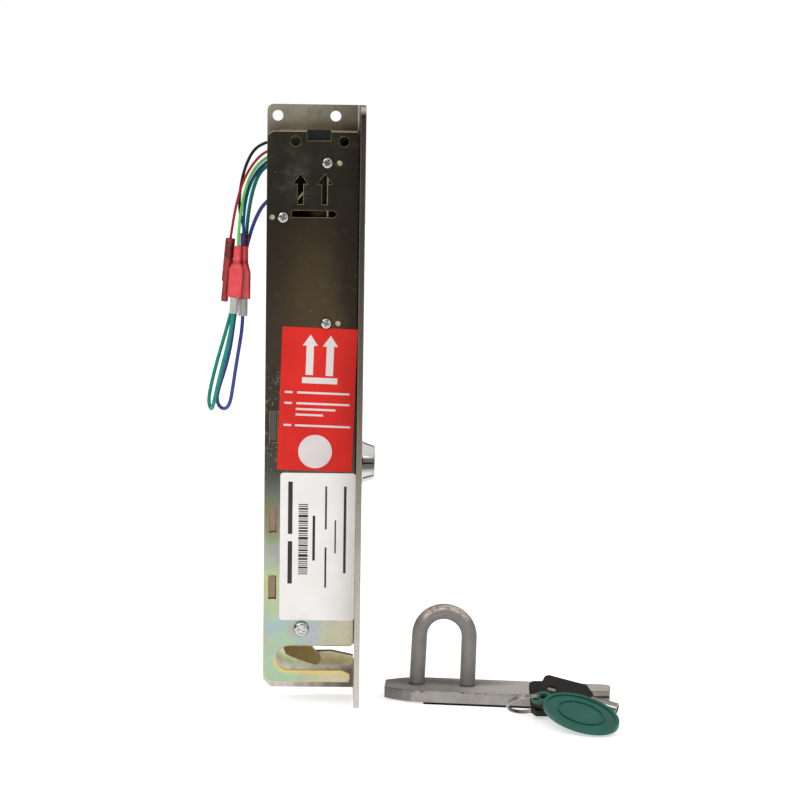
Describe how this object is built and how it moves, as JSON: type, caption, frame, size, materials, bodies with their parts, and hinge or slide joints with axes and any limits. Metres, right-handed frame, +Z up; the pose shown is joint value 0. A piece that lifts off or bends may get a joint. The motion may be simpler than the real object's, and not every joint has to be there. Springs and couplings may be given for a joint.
{
  "type": "electric gate lock",
  "caption": "Motor-driven lock in a long folded steel case: a beak drops in its mouth behind a U-shaped striker, with a side key cylinder, hanging wires and keys with a tag.",
  "frame": {"origin": "back face of the mounting plate, midway between its two top fixing holes", "axes": "+Z up along the case, -Y towards the covered front, +X towards the striker (the flange's outer side)"},
  "size_m": [0.2224, 0.1031, 0.3218],
  "materials": {
    "zinc_plate": "clear zinc-plated steel sheet",
    "yellow_zinc": "yellow-passivated zinc, iridescent",
    "olive_zinc": "dark olive passivated steel",
    "light_olive_zinc": "light yellow-green passivated steel",
    "grey_moulding": "grey moulded plastic",
    "tan_moulding": "tan moulded plastic",
    "black_rubber": "black rubber",
    "screw_zinc": "bright zinc-plated",
    "plain_steel": "turned steel",
    "motor_steel": "plated motor steel",
    "brass": "turned brass",
    "chrome": "polished chrome plating",
    "nickel": "nickel plating, lightly worn",
    "tin": "tin plating",
    "white_plastic": "natural white acetal",
    "black_plastic": "black moulded plastic",
    "red_plastic": "red moulded plastic",
    "board_green": "green lacquered circuit board",
    "red_sticker": "printed vinyl film",
    "white_sticker": "printed white film",
    "pvc_black": "black PVC insulation",
    "pvc_red": "red PVC insulation",
    "pvc_light_green": "light green PVC insulation",
    "pvc_blue": "blue PVC insulation",
    "pvc_teal": "teal PVC insulation",
    "pvc_navy": "navy PVC insulation",
    "sleeve_red": "red vinyl sleeve",
    "sleeve_dark_red": "dark red vinyl sleeve",
    "clear_plastic": "clear vinyl sleeve",
    "grey_paint": "grey paint, chipped",
    "tag_green": "dark green moulded plastic"
  },
  "bodies": {
    "case": {"mounting_plate": "zinc_plate", "front_cover": "yellow_zinc", "side_wall": "grey_moulding", "wire_grommet": "black_rubber", "cover_screws_small": "screw_zinc", "cover_screw_large": "screw_zinc", "locating_pins": "brass", "drive_carrier": "tan_moulding", "motor_can": "motor_steel", "motor_end_cap": "black_plastic", "screw_bushes": "brass", "bar_guide": "white_plastic", "beak_guide": "zinc_plate", "lever_pin": "plain_steel", "lever_spring": "plain_steel", "microswitch": "black_plastic", "switch_bracket": "zinc_plate", "switch_screws": "screw_zinc", "cylinder_housing": "chrome", "cylinder_nut": "plain_steel", "cylinder_washer": "plain_steel", "circuit_board": "board_green", "board_standoffs": "white_plastic", "top_block": "black_plastic", "red_label": "red_sticker", "white_label": "white_sticker", "wire_black": "pvc_black", "wire_red": "pvc_red", "wire_light_green": "pvc_light_green", "wire_blue": "pvc_blue", "wire_teal": "pvc_teal", "wire_navy": "pvc_navy", "spade_sleeve_left": "sleeve_red", "spade_sleeve_right": "sleeve_red", "bullet_sleeve_upper": "sleeve_dark_red", "bullet_sleeve_lower": "sleeve_red", "bullet_sleeve_rear": "sleeve_dark_red", "clear_sleeve_left": "clear_plastic", "clear_sleeve_right": "clear_plastic", "tin_terminals": "tin"},
    "bar": {"lock_bar": "olive_zinc", "drive_nut": "brass", "nut_screws": "screw_zinc"},
    "screw": {"lead_screw": "plain_steel", "screw_gear": "white_plastic"},
    "rotor": {"motor_rotor": "motor_steel", "motor_pinion": "brass"},
    "key_plug": {"cylinder_plug": "chrome", "cylinder_cam": "zinc_plate", "cam_screw": "screw_zinc"},
    "lever": {"sensing_lever": "light_olive_zinc"},
    "plunger": {"switch_plunger": "red_plastic"},
    "striker": {"striker_plate": "grey_paint", "striker_loop": "grey_paint"},
    "keys": {"key_front_bow": "black_plastic", "key_front_blade": "nickel", "key_rear_bow": "black_plastic", "key_rear_blade": "nickel", "split_ring": "nickel", "key_tag": "tag_green"}
  },
  "joints": [
    {"name": "bar_slide", "type": "slide", "parent": "case", "child": "bar", "axis": [0, 0, 1], "range_m": [0, 0.0125]},
    {"name": "screw_spin", "type": "hinge", "parent": "case", "child": "screw", "pos_m": [-0.003, -0.016, -0.08], "axis": [0, 0, 1], "range_deg": [0, 451]},
    {"name": "motor_spin", "type": "hinge", "parent": "case", "child": "rotor", "pos_m": [0.008, -0.016, -0.045], "axis": [0, 0, 1], "range_deg": [-1201, 0]},
    {"name": "key_turn", "type": "hinge", "parent": "case", "child": "key_plug", "pos_m": [0.0315, -0.015, -0.1856], "axis": [-1, 0, 0], "range_deg": [0, 90]},
    {"name": "lever_turn", "type": "hinge", "parent": "case", "child": "lever", "pos_m": [-0.0045, -0.009, -0.2755], "axis": [0, 1, 0], "range_deg": [0, 10], "stiffness_Nm_per_rad": 0.03, "springref_deg": -28.65},
    {"name": "plunger_slide", "type": "slide", "parent": "case", "child": "plunger", "axis": [1, 0, 0], "range_m": [0, 0.0021]},
    {"name": "striker_lift", "type": "slide", "parent": "case", "child": "striker", "axis": [0, 0, 1], "range_m": [0, 0.1]},
    {"name": "keys_lift", "type": "slide", "parent": "striker", "child": "keys", "axis": [0, 0, 1], "range_m": [0, 0.1]}
  ],
  "couplings": [
    {"joint": "screw_spin", "follows": "bar_slide", "rad_per_m": 628.32},
    {"joint": "motor_spin", "follows": "bar_slide", "rad_per_m": -1675.5},
    {"joint": "plunger_slide", "follows": "lever_turn", "m_per_rad": 0.0119}
  ]
}
